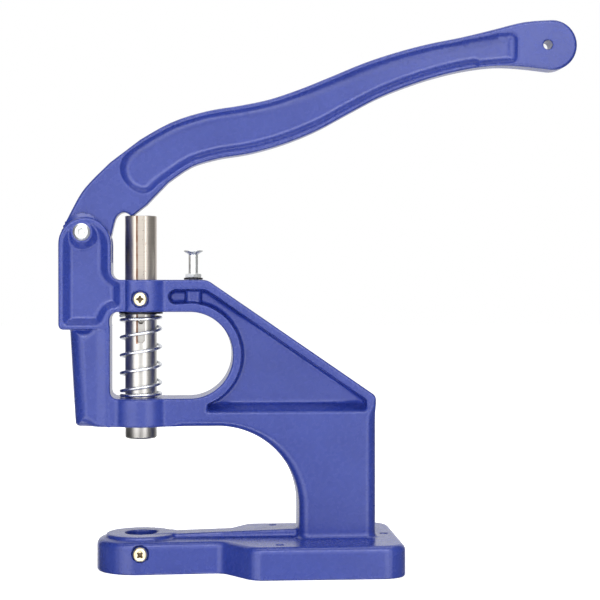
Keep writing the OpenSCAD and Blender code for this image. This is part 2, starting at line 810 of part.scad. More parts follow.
// Countersunk screw that stops the lever
module stop_screw() {
    rim = 0.6;
    recess_depth = 2;
    color([0.82, 0.82, 0.8])
    translate([stop_x, 0, upper_arm_top + stop_above])
    difference() {
        union() {
            rotate_extrude()
                polygon([[0, 0], [stop_head_d / 2, 0], [stop_head_d / 2, -rim],
                         [stop_d / 2, -rim - stop_cone_h], [0, -rim - stop_cone_h]]);
            translate([0, 0, -stop_l])
                cylinder(d = stop_d, h = stop_l - rim);
        }
        cross_recess(stop_head_d / 2, recess_depth);
    }
}

// Washer under the stop nut
module stop_washer() {
    color([0.15, 0.15, 0.16])
    translate([stop_x, 0, upper_arm_top + seat_gap])
    difference() {
        cylinder(d = stop_washer_d, h = stop_washer_t);
        translate([0, 0, -cut])
            cylinder(r = stop_d / 2 + run_fit, h = stop_washer_t + 2 * cut);
    }
}

// Thin nut that locks the stop screw
module stop_nut() {
    color([0.82, 0.82, 0.8])
    translate([stop_x, 0, upper_arm_top + 2 * seat_gap + stop_washer_t])
    difference() {
        linear_extrude(height = stop_nut_h)
            rotate(30)
                hexagon(stop_nut_af);
        translate([0, 0, -cut])
            cylinder(r = stop_d / 2 + run_fit, h = stop_nut_h + 2 * cut);
    }
}

base();
tongue();
column();
lower_arm();
strut();
upper_arm();
pivot_lugs();
lever();
pivot_bolt();
pivot_washer();
pivot_nut();
ram();
snap_ring();
return_spring();
guide_screw();
die_screw();
stop_screw();
stop_nut();
stop_washer();
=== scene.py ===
# Hand lever press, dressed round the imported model. Shapes are worked out in millimetres and built in metres.
# The front is at -Y, where the two cross-head screws are, and the column is at +X.
import math

import bpy
import numpy as np
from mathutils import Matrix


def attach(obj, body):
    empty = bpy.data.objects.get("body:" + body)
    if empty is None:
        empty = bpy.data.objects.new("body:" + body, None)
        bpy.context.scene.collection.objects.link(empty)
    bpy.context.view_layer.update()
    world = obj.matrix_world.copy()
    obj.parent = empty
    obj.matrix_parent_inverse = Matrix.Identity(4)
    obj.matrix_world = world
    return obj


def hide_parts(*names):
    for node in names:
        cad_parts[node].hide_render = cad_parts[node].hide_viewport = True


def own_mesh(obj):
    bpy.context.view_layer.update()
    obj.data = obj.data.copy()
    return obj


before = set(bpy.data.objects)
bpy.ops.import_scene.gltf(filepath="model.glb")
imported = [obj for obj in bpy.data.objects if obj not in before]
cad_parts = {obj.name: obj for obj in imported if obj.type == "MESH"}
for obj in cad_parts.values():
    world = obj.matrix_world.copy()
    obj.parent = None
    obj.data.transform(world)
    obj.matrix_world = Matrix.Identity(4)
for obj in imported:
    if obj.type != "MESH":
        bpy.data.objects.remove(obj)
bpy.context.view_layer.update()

MM = 0.001
HALF_ROOT = math.sqrt(0.5)

# A field is below zero inside a shape and gives the distance to its surface. It takes arrays of any
# shape that broadcast together, so the same field serves a grid and a list of points.


def both(a, b, r=0.0):
    """Where both fields are solid, with the edge between them rounded to radius r."""
    return np.minimum(np.maximum(a, b), -r) + np.hypot(np.maximum(a + r, 0), np.maximum(b + r, 0))


def either(a, b, r=0.0):
    """Where one of the fields is solid, with a fillet of radius r between them."""
    return -both(-a, -b, r)


def without(a, b, r=0.0):
    """The first field with the second cut out of it, with the cut's edge rounded to radius r."""
    return both(a, -b, r)


def ramp(x, start, end):
    """0 at start, 1 at end and smooth in between."""
    t = np.clip((x - start) / (end - start), 0, 1)
    return t * t * (3 - 2 * t)


def arc(cx, cy, r, a, b, n=10):
    """Points on a circle from angle a to angle b in degrees."""
    t = np.radians(np.linspace(a, b, n + 1))
    return [(cx + r * math.cos(s), cy + r * math.sin(s)) for s in t]


def outline(corners, steps=6):
    """Closed outline through corners (x, y) or (x, y, radius)."""
    points = []
    for i, corner in enumerate(corners):
        p = np.array(corner[:2], float)
        r = corner[2] if len(corner) > 2 else 0
        if not r:
            points.append(tuple(p))
            continue
        a = np.array(corners[i - 1][:2]) - p
        b = np.array(corners[(i + 1) % len(corners)][:2]) - p
        a, b = a / np.linalg.norm(a), b / np.linalg.norm(b)
        half = 0.5 * math.acos(np.clip(a @ b, -1, 1))
        centre = p + (a + b) / np.linalg.norm(a + b) * r / math.sin(half)
        start, end = p + a * r / math.tan(half) - centre, p + b * r / math.tan(half) - centre
        t0 = math.atan2(start[1], start[0])
        turn = (math.atan2(end[1], end[0]) - t0 + math.pi) % (2 * math.pi) - math.pi
        for k in range(steps + 1):
            t = t0 + turn * k / steps
            points.append(tuple(centre + r * np.array((math.cos(t), math.sin(t)))))
    return points


def inside(x, y, points):
    """Signed distance from (x, y) to a closed outline."""
    shape = np.broadcast_shapes(x.shape, y.shape)
    far = np.full(shape, 1e9, x.dtype)
    odd = np.zeros(shape, bool)
    for i in range(len(points)):
        (ax, ay), (bx, by) = points[i - 1], points[i]
        ex, ey = bx - ax, by - ay
        length = ex * ex + ey * ey
        if length < 1e-12:
            continue
        t = np.clip(((x - ax) * ex + (y - ay) * ey) / length, 0, 1)
        far = np.minimum(far, (x - ax - t * ex) ** 2 + (y - ay - t * ey) ** 2)
        if ey:
            odd ^= ((y >= ay) != (y >= by)) & (x < ax + (y - ay) * ex / ey)
    return np.where(odd, -1, 1) * np.sqrt(far)


def smooth(points, n):
    """A smooth curve through points, n steps from each to the next."""
    p = np.array(points, float)
    last = len(p) - 1
    out = []
    for i in range(last):
        a, b, c, d = p[max(i - 1, 0)], p[i], p[i + 1], p[min(i + 2, last)]
        for t in np.arange(n) / n:
            out.append(0.5 * (2 * b + t * (c - a) + t**2 * (2 * a - 5 * b + 4 * c - d)
                              + t**3 * (3 * b - a - 3 * c + d)))
    return out + [p[last]]


def solid(name, field, low, high, step):
    """A smooth mesh over a field between two corners, with one point in each cell that the surface crosses."""
    low, step = np.array(low, float), np.broadcast_to(np.array(step, float), 3)
    size = np.ceil((np.array(high) - low) / step).astype(int) + 1
    x, y, z = ((low[k] + step[k] * np.arange(size[k])).astype(np.float32) for k in range(3))
    f = np.broadcast_to(field(x[:, None, None], y[None, :, None], z[None, None, :]), size)
    solid_at = f < 0
    unit = np.eye(3, dtype=int)
    cells, points = [], []
    for a in range(3):
        b, c = (a + 1) % 3, (a + 2) % 3
        near, far = [slice(None)] * 3, [slice(None)] * 3
        near[a], far[a] = slice(0, -1), slice(1, None)
        at = np.argwhere(solid_at[tuple(near)] != solid_at[tuple(far)])
        f0, f1 = f[tuple(at.T)], f[tuple((at + unit[a]).T)]
        p = at.astype(float)
        p[:, a] += f0 / (f0 - f1)
        ring = (at - unit[b] - unit[c], at - unit[c], at, at - unit[b])
        ids = np.stack([np.ravel_multi_index(tuple(q.T), tuple(size)) for q in ring], 1)
        ids[f0 >= 0] = ids[f0 >= 0][:, ::-1]
        cells.append(ids)
        points.append(p)
    ids = np.concatenate(cells)
    p = np.repeat(np.concatenate(points), 4, axis=0)
    _, back = np.unique(ids.ravel(), return_inverse=True)
    count = np.bincount(back)
    v = low + step * np.stack([np.bincount(back, p[:, k]) / count for k in range(3)], 1)

    def slope(q):
        e = 0.02  # half the span of the difference, in millimetres
        return np.stack([(field(*(q + e * unit[k]).T) - field(*(q - e * unit[k]).T)) / (2 * e)
                         for k in range(3)], 1)

    # Two steps towards the surface, none longer than 0.4 of a cell
    for _ in range(2):
        g = slope(v)
        move = -(field(*v.T) / np.maximum((g * g).sum(1), 0.25))[:, None] * g
        reach = np.maximum(np.linalg.norm(move, axis=1, keepdims=True) / (0.4 * step.min()), 1)
        v = v + move / reach
    normals = slope(v)
    normals /= np.maximum(np.linalg.norm(normals, axis=1, keepdims=True), 1e-6)
    mesh = bpy.data.meshes.new(name)
    mesh.from_pydata((v * MM).tolist(), [], back.reshape(-1, 4).tolist())
    mesh.shade_smooth()
    mesh.normals_split_custom_set_from_vertices(normals.tolist())
    piece = bpy.data.objects.new(name, mesh)
    bpy.context.scene.collection.objects.link(piece)
    return piece


def place(piece, body, nodes, material):
    """Hands a finished piece over: its finish, its body and the CAD nodes it stands for."""
    piece.data.materials.clear()
    piece.data.materials.append(material)
    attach(piece, body)
    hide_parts(*nodes.split())


# Sizes in millimetres. X is from the ram's axis, Y from the middle of the press and Z from the bench.
FACE = 18.0  # half the casting's thickness
BASE_TOP = 20.0
RING_R = 22.0  # raised ring round the die bore
RING_TOP = 22.5
RIB_HALF = 8.0
RIB_END = 110.0
RIB_RISE = 0.028  # for each millimetre towards the column
SUNK = 10.0  # ring and rib start inside the plate
COLUMN_START = 99.0
COLUMN_END = 147.5
COLUMN_FOOT = 12.0  # inside the plate
THROAT_R = 51.0
ARM_START = -20.0
ARM_TOP = 182.0
ARM_LOW = 90.5
SLOPE_X = 41.5
SLOPE_END_Z = 109.0
SLOPE_RUN, SLOPE_FALL = COLUMN_END - SLOPE_X, ARM_TOP - SLOPE_END_Z
SLOPE_LENGTH = math.hypot(SLOPE_RUN, SLOPE_FALL)
WINDOW_X, WINDOW_Z, WINDOW_R = 30.5, 135.0, 27.0  # centre and radius of the window's round end
WINDOW_START = -19.0
BOSS_R = 21.0
BOSS_OUT = 2.6  # from the ram's axis to the centre of each boss face
BOSS_START = -8.5  # where the upper boss stops beside the strut
STRUT_HALF = 17.0
WEB_HALF = 6.0
WEB_POCKET_LOW = 99.6
LUG_WEB_HALF = 13.5
LUG_START_Z = 165.0  # the lugs grow out of the upper arm above this height
PIVOT_X, PIVOT_Z = -36.0, 211.5
PIVOT_SEAT_R = 6.3
PIVOT_HOLE_R = 4.1
FORK_HALF = 8.3
FORK_LOW = 193.0
BORE_R = 10.1
GUIDE_Z = 170.0  # height of the guide screw
GUIDE_SEAT_Y = -22.0
DIE_SCREW_Z = 13.0
DIE_SEAT_Y = -25.0
SCREW_HOLE_R = 2.7
SCREW_R = 2.5  # of the guide screw and the die screw
STOP_X = 33.0  # axis of the stop screw
STOP_TOP = 200.6
STOP_R = 3.0
STOP_HEAD_R = 6.0
STOP_HOLE_R = 3.15
STOP_HOLE_LOW = 165.0
BENCH_X, BENCH_R, BENCH_HOLE_R = 108.5, 46.0, 2.5  # circle of the three bench holes

# Outlines in plan for the base, and in X and Z for the rest
BASE_HALF = (arc(-2, -1.5, 25.5, 180, 272, 20) + arc(46, -34, 9, 90, 36) + arc(75.6, -37.5, 13.5, 216, 270)
             + arc(149, -37, 14, 270, 360))
BASE = BASE_HALF + [(x, -y) for x, y in reversed(BASE_HALF)]
LUGS = outline([(-50.5, 151, 3), (-18, 151), (-18, 204.25)] + arc(-34.25, 204.25, 16.25, 0, 180, 24))
LUG_POCKET = outline([(-48.1, 153.2, 3.5), (-24.5, 153.2, 6), (-19.6, 163.5, 6), (-12, 164.8, 3.5),
                      (-12, 180.2, 3.5), (-19.6, 185.5, 7), (-19.6, 203.5)]
                     + arc(-33.85, 203.5, 14.25, 0, 180, 24))
WEB_POCKET = outline([(141.4, WEB_POCKET_LOW, 2.5), (141.4, 106.9, 2), (41, 176, 8), (17.2, 176, 4.75),
                      (17.2, 166.4, 4.75)]
                     + arc(WINDOW_X, WINDOW_Z, 32.4, 90, -70, 30) + [(41.8, WEB_POCKET_LOW, 1.5)])
STRUT = outline([(-40.5, ARM_LOW, 3), (-19, ARM_LOW), (-19, 153), (-44, 153)])


def cone_wall(flat, depth, slant):
    """Field of a pocket's wall that leans in by slant for each millimetre of depth."""
    return (flat + depth * slant) / math.hypot(1, slant)


def base_field(x, y, z):
    """Base plate with its ring and its rib."""
    plate = both(both(inside(x, y, BASE), z - BASE_TOP, 4.2), -z, 1.2)
    ring = both(both(np.hypot(x, y) - RING_R, z - RING_TOP, 1.2), SUNK - z)
    above = z - RING_TOP - RIB_RISE * (x - RING_R)
    rib = both(both(both(np.abs(y) - RIB_HALF, above, 1.2), np.maximum(-x, x - RIB_END)), SUNK - z)
    return either(either(plate, ring, 2.0), rib, 2.0)


def side_profile(x, z):
    """Column, arms and lugs, seen from the side, with the throat and the window open."""
    slope = ((x - SLOPE_X) * SLOPE_FALL + (z - ARM_TOP) * SLOPE_RUN) / SLOPE_LENGTH
    profile = both(both(both(x - COLUMN_END, slope, 2.0), z - ARM_TOP, 1.5), ARM_START - x)
    profile = both(profile, either(COLUMN_START - x, ARM_LOW - z, THROAT_R))
    profile = np.maximum(profile, COLUMN_FOOT - z)
    lugs = inside(x, z, LUGS)
    profile = np.where(z > LUG_START_Z, either(profile, lugs, 5.0), np.minimum(profile, lugs))
    window = np.where(x > WINDOW_X, np.hypot(x - WINDOW_X, z - WINDOW_Z) - WINDOW_R,
                      both(np.abs(z - WINDOW_Z) - WINDOW_R, WINDOW_START - x, 5.0))
    return np.maximum(profile, -window)


def body_field(x, y, z):
    """Column, arms, lugs and strut with their bosses and pockets."""
    side, rho = np.abs(y), np.hypot(x, y)
    # The bosses that guide the ram swell out of the arms' faces
    bulge = np.hypot(x, side - BOSS_OUT) - BOSS_R
    boss_low = either(side - FACE, bulge, 1.3)
    boss_high = either(side - FACE, both(bulge, BOSS_START - x, 0.8), 1.3)
    face = np.where(z > WINDOW_Z, boss_high, boss_low)
    # Radius of the edges, which are rounder along the throat and down the column
    soft = 1.5 + 2.8 * ramp(rho, 24, 32) * ramp(z, 104, 96) + 2.5 * ramp(x, 60, 95) * ramp(z, 112, 90)
    body = both(side_profile(x, z), face, soft)
    # Strut below the lugs, a little narrower than they are and much rounder away from the column
    strut = both(inside(x, z, STRUT), side - STRUT_HALF - ramp(x, -28, -20), 2.0 + 8.0 * ramp(x, -24, -36))
    body = either(body, strut, 1.0)
    # Pocket in the web, whose lower wall leans most
    depth = FACE - side
    wall = both(cone_wall(inside(x, z, WEB_POCKET), depth, 0.10),
                cone_wall(WEB_POCKET_LOW - z, depth, 0.40), 0.6)
    body = without(body, both(wall, WEB_HALF - side, 1.8), 0.8 + 1.7 * ramp(z, 104, 100))
    # Boss of the stop screw in the slot
    stop = both(both(np.abs(x - STOP_X) - 5.2, side - 10, 3.2), np.abs(z - 172) - 6)
    body = either(body, stop, 0.6)
    # Pocket in the lugs and the cone that the pivot bolt's head sits on
    pocket = both(cone_wall(inside(x, z, LUG_POCKET), depth, 1.22), LUG_WEB_HALF - side, 1.1)
    body = without(body, pocket, 0.8)
    pin = np.hypot(x - PIVOT_X, z - PIVOT_Z)
    seat = both(both(cone_wall(pin - PIVOT_SEAT_R, depth, -1.0), side - FACE, 0.5), 11 - side)
    return either(body, seat, 0.6)


def frame_field(x, y, z):
    """The whole casting with its fork, bores and screw holes."""
    casting = either(body_field(x, y, z), base_field(x, y, z), 3.0)
    casting = without(casting, both(np.abs(y) - FORK_HALF, FORK_LOW - z, 2.0), 0.6)
    casting = without(casting, np.hypot(x, y) - BORE_R, 0.5)
    casting = without(casting, np.hypot(x - PIVOT_X, z - PIVOT_Z) - PIVOT_HOLE_R, 0.3)
    for height, seat_r, seat_y in ((GUIDE_Z, 5.2, GUIDE_SEAT_Y), (DIE_SCREW_Z, 5.1, DIE_SEAT_Y)):
        pin = np.hypot(x, z - height)
        casting = without(casting, both(pin - SCREW_HOLE_R, y), 0.2)
        casting = without(casting, both(pin - seat_r, y - seat_y), 0.3)
    casting = without(casting, both(np.hypot(x - STOP_X, y) - STOP_HOLE_R, STOP_HOLE_LOW - z), 0.3)
    for turn in (0, 120, 240):
        a = math.radians(turn)
        hole = np.hypot(x - BENCH_X - BENCH_R * math.cos(a), y - BENCH_R * math.sin(a))
        casting = without(casting, both(hole - BENCH_HOLE_R, z - 30), 0.2)
    return casting


# The ram, whose top the lever's nose rests on
RAM_R = 10.0
RAM_TOP = 222.2
RAM_LOW = 82.2
CHAMFER = 0.9  # at its lower end
KEYWAY_HALF, KEYWAY_LOW, KEYWAY_Y = 2.5, 145.0, -7.5  # half width, lower end and floor
CROSS_HOLE_R, CROSS_HOLE_Z = 1.7, 156.2
SOCKET_R, SOCKET_TOP = 4.25, 100.2
CLIP_Z, CLIP_R, GROOVE_R = 161.25, 13.8, 9.5  # the snap ring's middle and radius, and its groove's

# Outlines of the lever in X and Z, measured from the pivot
LEVER_HALF = 8.0
LEVER_WEB_HALF = 4.0
HANG_R, HANG_BACK = 3.0, 3.0  # the hang hole's radius and its distance from the paddle's centre
SPINE = smooth([
    (41, 42.7, 16.2), (61, 55.2, 15.3), (81, 61.7, 15.3), (101, 65.2, 15.3), (121, 70.2, 14.7),
    (141, 77.7, 14.1), (161, 87.2, 12.9), (181, 96.7, 11.9), (201, 104.2, 11.2), (221, 110.2, 10.6),
    (241, 114.7, 10.3), (261, 118.5, 11.5), (281, 120.8, 14.4), (298, 120.7, 16)], 4)
PADDLE_X, PADDLE_Z, PADDLE_R = SPINE[-1]
NOSE_R, NOSE_GAP = 2, 0.05
NOSE_Z = RAM_TOP - PIVOT_Z + NOSE_R + NOSE_GAP


def band(curve, side, rim_start=0.0, rim_end=0.0):
    """One edge of a band round a curve of (x, z, half depth): side is 1 above and -1 below."""
    points = []
    for i, (x, z, half) in enumerate(curve):
        a, b = curve[max(i - 1, 0)], curve[min(i + 1, len(curve) - 1)]
        t = (b - a)[:2] / np.linalg.norm((b - a)[:2])
        reach = half - rim_start - (rim_end - rim_start) * i / len(curve)
        points.append((x - side * t[1] * reach, z + side * t[0] * reach))
    return points


LEVER = (arc(0, 0, 12.5, 158, 320, 16)
         + [tuple(p) for p in smooth([(13, -9.5), (17, -4), (18.6, 2), (20.3, 8.5), (22, 11), (24, 12.6),
                                      (26.5, 12.9)], 2)]
         + arc(30.5, NOSE_Z, NOSE_R, -150, -56, 8) + arc(37.5, NOSE_Z + 8, 4, -56, -32, 6)
         + band(SPINE, -1)[1:-1] + arc(PADDLE_X, PADDLE_Z, PADDLE_R, -90, 90, 20)
         + band(SPINE, 1)[-2:0:-1]
         + [tuple(p) for p in smooth([(-11.6, 4.6), (-7.5, 12.8), (-1.3, 24.2), (5.5, 32.6),
                                      (17.2, 44.2)], 4)][::-1])
GROOVE = SPINE[2:42]
LEVER_POCKET = (band(GROOVE, -1, 3.0, 2.0)
                + outline([(251, 106.3), (260, 107.3), (275.4, 108.6, 5), (275.6, 128.8, 5), (263, 127.6),
                           (255, 125.6)])
                + band(GROOVE, 1, 2.2, 2.4)[::-1]
                + [tuple(q) for q in smooth([(38.1, 57.3), (30.2, 51.9), (25.4, 47.1), (23.3, 41),
                                             (24.6, 34.6), (28.4, 29.2), (33, 26), (38, 24.7),
                                             (42.6, 26.4), (46.5, 30.3)], 4)])


def lever_field(x, y, z):
    """The lever with a pocket in each side, the pivot's hole and the hang hole."""
    x, z, side = x - PIVOT_X, z - PIVOT_Z, np.abs(y)
    body = both(inside(x, z, LEVER), side - LEVER_HALF, 2.0)
    wall = cone_wall(inside(x, z, LEVER_POCKET) - 0.4, LEVER_HALF - side, 0.2)
    body = without(body, both(wall, LEVER_WEB_HALF - side, 6.0), 0.9)
    body = without(body, np.hypot(x, z) - PIVOT_HOLE_R, 0.3)
    return without(body, np.hypot(x - PADDLE_X + HANG_BACK, z - PADDLE_Z) - HANG_R, 0.7)


def ram_field(x, y, z):
    """Round bar with a chamfer, a keyway, a cross hole, the snap ring's groove and the punch socket."""
    rho = np.hypot(x, y)
    bar = both(both(rho - RAM_R, z - RAM_TOP, 0.3), RAM_LOW - z, 0.2)
    bar = both(bar, cone_wall(rho - RAM_R + CHAMFER, RAM_LOW - z, 1.0))
    key = np.where(z > KEYWAY_LOW, np.abs(x), np.hypot(x, z - KEYWAY_LOW)) - KEYWAY_HALF
    bar = without(bar, both(key, y - KEYWAY_Y), 0.15)
    bar = without(bar, both(np.hypot(x, z - CROSS_HOLE_Z) - CROSS_HOLE_R, y), 0.1)
    bar = without(bar, both(both(GROOVE_R - rho, np.abs(z - CLIP_Z) - 0.65), rho - 12))
    return without(bar, both(rho - SOCKET_R, z - SOCKET_TOP), 0.3)


def cross(u, v, depth):
    """Field of a cross recess whose wings get narrower with depth."""
    u, v = np.minimum(np.abs(u), np.abs(v)), np.maximum(np.abs(u), np.abs(v))
    wing = both(u - 0.62 + 0.12 * depth, v - 2.45 + 0.5 * depth, 0.15)
    middle = np.hypot(u, v) - 1.5 + 0.55 * depth
    return both(both(either(wing, middle, 0.3), depth - 2.2), -2 - depth)


PAN_R, PAN_HIGH, DOME_R = 4.5, 3.0, 8.2


def pan_head(u, v, w, tip):
    """Field of a pan head whose seat is at w = 0, with its shank down to w = -tip."""
    rho = np.hypot(u, v)
    dome = np.hypot(rho, w + DOME_R - PAN_HIGH) - DOME_R
    head = both(both(rho - PAN_R, dome, 0.8), -w, 0.25)
    head = without(head, cross(u, v, PAN_HIGH - w), 0.12)
    shank = both(both(rho - SCREW_R, -tip - w, 0.6), w - 1)
    return either(head, shank, 0.2)


def guide_screw_field(x, y, z):
    """In the upper boss, with its point in the ram's keyway."""
    return pan_head(x, z - GUIDE_Z, GUIDE_SEAT_Y - 0.15 - y, 14.1)


def die_screw_field(x, y, z):
    """In the base's front, standing out of its seat, with its cross turned by 45 degrees."""
    u, v = (x + z - DIE_SCREW_Z) * HALF_ROOT, (z - DIE_SCREW_Z - x) * HALF_ROOT
    return pan_head(u, v, DIE_SEAT_Y - 2.4 - y, 16.8)


def hexagon(u, v, flats):
    """Distance to a hexagon with two flats across u."""
    u, v = np.abs(u), np.abs(v)
    return np.maximum(u, 0.5 * u + math.sqrt(0.75) * v) - flats / 2


def nut(u, v, w, flats, height, hole):
    """Field of a chamfered nut that stands on w = 0."""
    rho = np.hypot(u, v)
    body = both(hexagon(u, v, flats), np.abs(w - height / 2) - height / 2, 0.15)
    slant = (rho - flats / 2 + (np.abs(w - height / 2) - height / 2) * 1.9) * 0.45
    return without(both(body, slant, 0.1), rho - hole, 0.3)


def stop_screw_field(x, y, z):
    """Countersunk screw with its head up. Its top is at w = 0."""
    rho, w = np.hypot(x - STOP_X, y), z - STOP_TOP
    head = both(both(rho - STOP_HEAD_R, w, 0.15), cone_wall(rho - STOP_HEAD_R, -0.7 - w, 1.7), 0.2)
    shank = both(both(rho - STOP_R, -26 - w, 0.5), w + 1)
    screw = either(both(head, -4 - w), shank, 0.4)
    return without(screw, cross(x - STOP_X, y, -w), 0.12)


def stop_nut_field(x, y, z):
    return nut(x - STOP_X, y, z - 183.5, flats=10, height=2.4, hole=3.05)


def stop_washer_field(x, y, z):
    rho = np.hypot(x - STOP_X, y)
    return without(both(rho - 6, np.abs(z - 182.75) - 0.6, 0.2), rho - 3.05, 0.1)


def snap_ring_field(x, y, z):
    """Open ring, whose gap is at the rear."""
    rho = np.hypot(x, y)
    ring = both(both(rho - CLIP_R, np.abs(z - CLIP_Z) - 0.6, 0.2), GROOVE_R + 0.05 - rho, 0.1)
    return without(ring, both(np.abs(x) - 3, -y), 0.3)


PIVOT_GAP = 0.15  # between the casting, the bolt's head, the washer and the nut
WASHER_HIGH = 1.6
PIVOT_NUT_HIGH = 6.5


def pivot_bolt_field(x, y, z):
    """Head with a hexagon socket at the front, and a shank through lugs, washer and nut."""
    u, v, w = x - PIVOT_X, z - PIVOT_Z, -FACE - PIVOT_GAP - y
    rho = np.hypot(u, v)
    head = both(both(both(rho - 5.4, w - 3), cone_wall(rho - 7, w, 1.0), 0.1), -w, 0.1)
    head = without(head, both(both(hexagon(u, v, 4), 1 - w), w - 8), 0.12)
    end = 2 * FACE + 3 * PIVOT_GAP + WASHER_HIGH + PIVOT_NUT_HIGH + 1
    shank = both(both(rho - 4, -end - w, 0.7), w - 1)
    return either(head, shank, 0.2)


def pivot_washer_field(x, y, z):
    rho = np.hypot(x - PIVOT_X, z - PIVOT_Z)
    w = y - FACE - PIVOT_GAP - WASHER_HIGH / 2
    return without(both(rho - 7.5, np.abs(w) - WASHER_HIGH / 2, 0.25), rho - 4.05, 0.1)


def pivot_nut_field(x, y, z):
    w = y - FACE - 2 * PIVOT_GAP - WASHER_HIGH
    return nut(z - PIVOT_Z, x - PIVOT_X, w, flats=13, height=PIVOT_NUT_HIGH, hole=4.05)


# The spring between the lower arm and the snap ring, at rest
SPRING_FOOT, SPRING_TOP = 108.15, 160.5


def spring_mesh(name):
    """One round wire: a closed turn, four open turns and a closed turn."""
    coil_r, wire_r, closed, turns = 12.5, 1.0, 2.6, 6
    low, high = SPRING_FOOT + wire_r, SPRING_TOP - wire_r
    pitch = (high - low - 2 * closed) / (turns - 2)
    rings, sides = 40, 16  # of the mesh, for each turn and round the wire
    count = turns * rings

    def middle(u):
        z = np.where(u < 1, low + closed * u,
                     np.where(u < turns - 1, low + closed + pitch * (u - 1), high - closed * (turns - u)))
        a = math.pi + 2 * math.pi * u
        return np.stack([coil_r * np.cos(a), coil_r * np.sin(a), z], 1)

    u = np.arange(count + 1) / rings
    path = middle(u)
    # The change from a closed to an open turn is spread over a few rings
    padded = np.pad(path[:, 2], 4, mode="reflect", reflect_type="odd")
    path[:, 2] = np.convolve(padded, np.ones(9) / 9, "valid")
    path = np.concatenate([path[:1] + [0, 2, 0], path, path[-1:] - [0, 2, 0]])
    t = np.gradient(path, axis=0)
    t /= np.linalg.norm(t, axis=1, keepdims=True)
    a = np.cross((0, 0, 1), t)
    a /= np.linalg.norm(a, axis=1, keepdims=True)
    b = np.cross(t, a)
    turn = (2 * np.pi * np.arange(sides) / sides)[None, :, None]
    v = path[:, None] + wire_r * (np.cos(turn) * a[:, None] + np.sin(turn) * b[:, None])
    last = len(path) - 1
    faces = []
    for i in range(last):
        for k in range(sides):
            near, far = i * sides, (i + 1) * sides
            beside = (k + 1) % sides
            faces.append((near + k, near + beside, far + beside, far + k))
    faces += [tuple(range(sides))[::-1], tuple(last * sides + k for k in range(sides))]
    mesh = bpy.data.meshes.new(name)
    mesh.from_pydata((v.reshape(-1, 3) * MM).tolist(), [], faces)
    mesh.shade_smooth()
    piece = bpy.data.objects.new(name, mesh)
    bpy.context.scene.collection.objects.link(piece)
    return piece


class Nodes:
    """A node tree, cleared, with one call that adds a node."""

    def __init__(self, owner):
        owner.use_nodes = True
        self.tree = owner.node_tree
        self.tree.nodes.clear()

    def add(self, kind, inputs=None, **settings):
        """A node with its inputs, by name or number, set to a value or linked to another node's output."""
        node = self.tree.nodes.new("ShaderNode" + kind)
        for name, value in settings.items():
            setattr(node, name, value)
        for key, value in (inputs or {}).items():
            if isinstance(value, bpy.types.NodeSocket):
                self.tree.links.new(value, node.inputs[key])
            else:
                node.inputs[key].default_value = value
        return node

    def is_seen(self):
        """1 for rays from the camera, a mirror or glass, 0 for rays that light a matt surface."""
        path = self.add("LightPath")
        value = path.outputs["Is Camera Ray"]
        for name in ("Is Glossy Ray", "Is Transmission Ray"):
            value = self.add("Math", {0: value, 1: path.outputs[name]}, operation="MAXIMUM").outputs[0]
        return value


class Paint(Nodes):
    """A node material with short calls for the patterns that these finishes need."""

    def __init__(self, name):
        self.material = bpy.data.materials.new(name)
        super().__init__(self.material)
        self.shader = self.add("BsdfPrincipled")
        self.add("OutputMaterial", {"Surface": self.shader.outputs["BSDF"]})
        self.place = self.add("TexCoord").outputs["Object"]

    def finish(self, **inputs):
        """Sets or links the shader's inputs. An underscore stands for a space in their names."""
        for key, value in inputs.items():
            socket = self.shader.inputs[key.replace("_", " ")]
            if isinstance(value, bpy.types.NodeSocket):
                self.tree.links.new(value, socket)
            else:
                socket.default_value = value
        return self.material

    def noise(self, scale, detail=2.0, rough=0.5, stretch=(1, 1, 1)):
        where = self.add("Mapping", {"Scale": stretch, "Vector": self.place})
        return self.add("TexNoise", {"Scale": scale, "Detail": detail, "Roughness": rough,
                                     "Vector": where.outputs["Vector"]}).outputs["Fac"]

    def ramp(self, value, low, high, a=0.0, b=1.0):
        """a where value is low, b where it is high and smooth in between."""
        span = {"From Min": low, "From Max": high, "To Min": a, "To Max": b}
        node = self.add("MapRange", {"Value": value, **span}, interpolation_type="SMOOTHSTEP")
        return node.outputs["Result"]

    def math(self, how, a, b):
        return self.add("Math", {0: a, 1: b}, operation=how).outputs[0]

    def from_line(self, value, middle):
        """Distance from a plane at middle millimetres."""
        return self.math("ABSOLUTE", self.math("SUBTRACT", value, middle * MM), 0)

    def mix(self, fac, a, b):
        """A mix of two colours, each a tuple or another node's output."""
        a, b = ((*c, 1) if isinstance(c, tuple) else c for c in (a, b))
        return self.add("Mix", {0: fac, 6: a, 7: b}, data_type="RGBA").outputs[2]

    def bump(self, *layers):
        """Each layer is (height, strength, distance in metres)."""
        normal = {}
        for height, strength, distance in layers:
            node = self.add("Bump", {"Strength": strength, "Distance": distance, "Height": height, **normal})
            normal = {"Normal": node.outputs["Normal"]}
        return node.outputs["Normal"]

    def near(self, point, radius, stretch=(1, 1, 1)):
        """1 inside a ball round a point in millimetres, 0 outside."""
        scale = [s / (radius * MM) for s in stretch]
        shift = [-p * MM * s for p, s in zip(point, scale)]
        where = self.add("Mapping", {"Scale": scale, "Location": shift, "Vector": self.place})
        length = self.add("VectorMath", {0: where.outputs["Vector"]}, operation="LENGTH")
        return self.ramp(length.outputs["Value"], 1.0, 0.8)


BLUE = (0.032, 0.061, 0.37)
BLUE_DEEP = (0.026, 0.052, 0.34)
CHIP = (0.8, 0.8, 0.82)
RUST = (0.23, 0.10, 0.05)
RUST_SPECK = (0.16, 0.09, 0.06)
# Painted shade for the ram's lower end
RAM_END_SHADE = (0.30, 0.29, 0.28)
# Rust brown with painted shade for the cross recesses
RECESS_RUST_AND_SHADE = (0.20, 0.14, 0.08)


